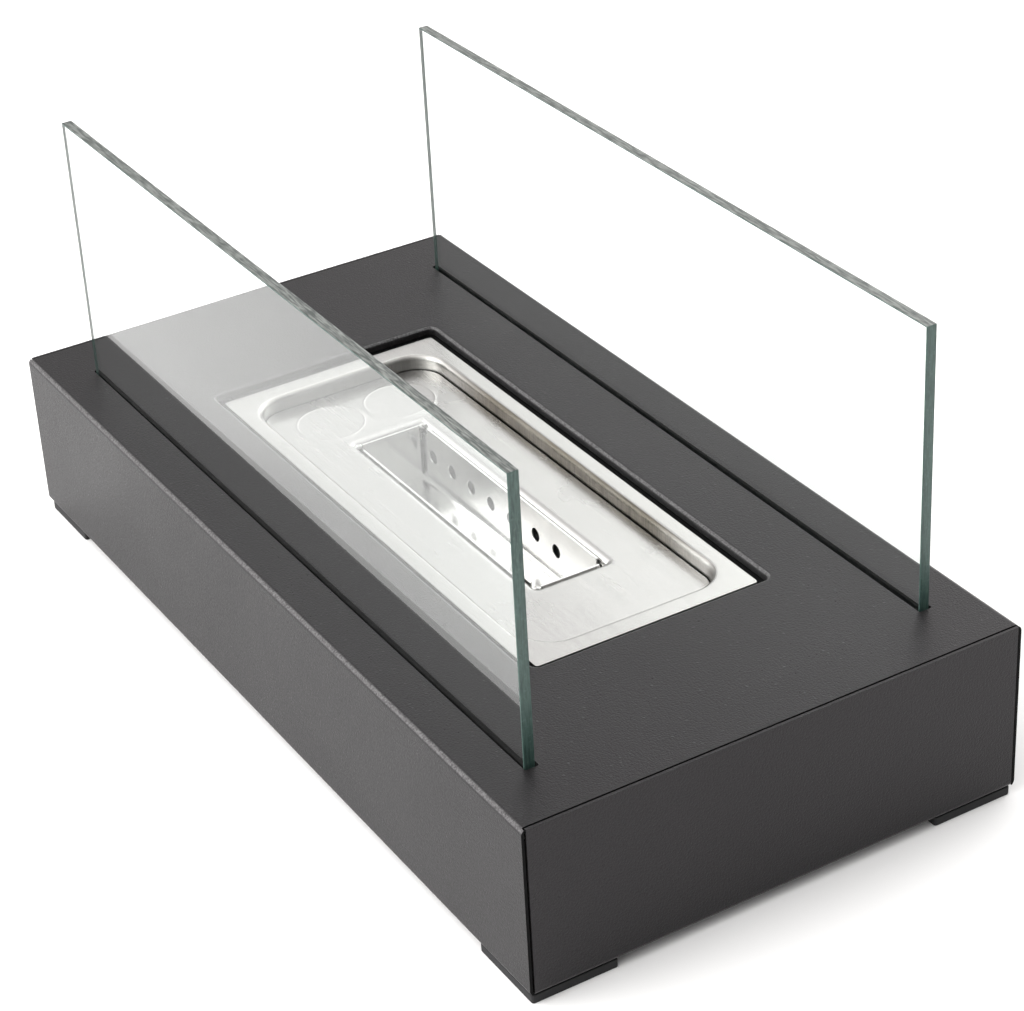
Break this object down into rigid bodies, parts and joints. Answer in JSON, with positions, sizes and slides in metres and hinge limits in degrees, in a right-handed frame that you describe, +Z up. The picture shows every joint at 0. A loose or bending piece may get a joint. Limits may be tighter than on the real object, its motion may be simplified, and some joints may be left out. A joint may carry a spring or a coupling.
{
  "type": "bioethanol fireplace",
  "caption": "Table-top bioethanol fireplace: dark folded-steel base with a recessed stainless burner between two upright clear glass panels.",
  "frame": {"origin": "centre of the footprint, on the surface the feet stand on", "axes": "+X along the length to the right seen from the front, -Y towards the front glass panel, +Z up"},
  "size_m": [0.35, 0.18, 0.1625],
  "materials": {
    "powder_coat": "fine-textured anthracite powder coat on folded sheet steel",
    "black_steel": "matt black coated sheet steel under the deck",
    "satin_steel": "satin stainless steel, deep drawn",
    "polished_steel": "bright polished stainless steel sheet",
    "zinc_steel": "zinc-plated fasteners",
    "clear_glass": "clear float glass with ground green edges",
    "foot_rubber": "matt black rubber pad",
    "silicone": "grey silicone setting block",
    "ceramic_wool": "white ceramic fibre wool"
  },
  "bodies": {
    "housing": {"housing_shell": "powder_coat", "end_cap_left": "powder_coat", "seat_rail_left": "black_steel", "end_cap_right": "powder_coat", "seat_rail_right": "black_steel", "corner_bracket_front_left": "black_steel", "foot_front_left": "foot_rubber", "glass_pad_front_left": "silicone", "corner_bracket_front_right": "black_steel", "foot_front_right": "foot_rubber", "glass_pad_front_right": "silicone", "glass_channel_front": "black_steel", "seat_rail_front": "black_steel", "channel_stud_front_1": "zinc_steel", "channel_stud_front_2": "zinc_steel", "channel_stud_front_3": "zinc_steel", "channel_stud_front_4": "zinc_steel", "corner_bracket_rear_left": "black_steel", "foot_rear_left": "foot_rubber", "glass_pad_rear_left": "silicone", "corner_bracket_rear_right": "black_steel", "foot_rear_right": "foot_rubber", "glass_pad_rear_right": "silicone", "glass_channel_rear": "black_steel", "seat_rail_rear": "black_steel", "channel_stud_rear_1": "zinc_steel", "channel_stud_rear_2": "zinc_steel", "channel_stud_rear_3": "zinc_steel", "channel_stud_rear_4": "zinc_steel"},
    "burner": {"fuel_tank": "satin_steel", "wool_front": "ceramic_wool", "wool_rear": "ceramic_wool"},
    "burner_cover": {"cover_plate": "satin_steel", "flame_trough": "polished_steel", "trough_hanger_left": "satin_steel", "trough_hanger_right": "satin_steel"},
    "front_glass": {"glass_panel_front": "clear_glass"},
    "rear_glass": {"glass_panel_rear": "clear_glass"}
  },
  "joints": [
    {"name": "burner_lift", "type": "slide", "parent": "housing", "child": "burner", "axis": [0, 0, 1], "range_m": [0, 0.045]},
    {"name": "cover_lift", "type": "slide", "parent": "burner", "child": "burner_cover", "axis": [0, 0, 1], "range_m": [0, 0.03]},
    {"name": "front_glass_lift", "type": "slide", "parent": "housing", "child": "front_glass", "axis": [0, 0, 1], "range_m": [0, 0.025]},
    {"name": "rear_glass_lift", "type": "slide", "parent": "housing", "child": "rear_glass", "axis": [0, 0, 1], "range_m": [0, 0.025]}
  ]
}
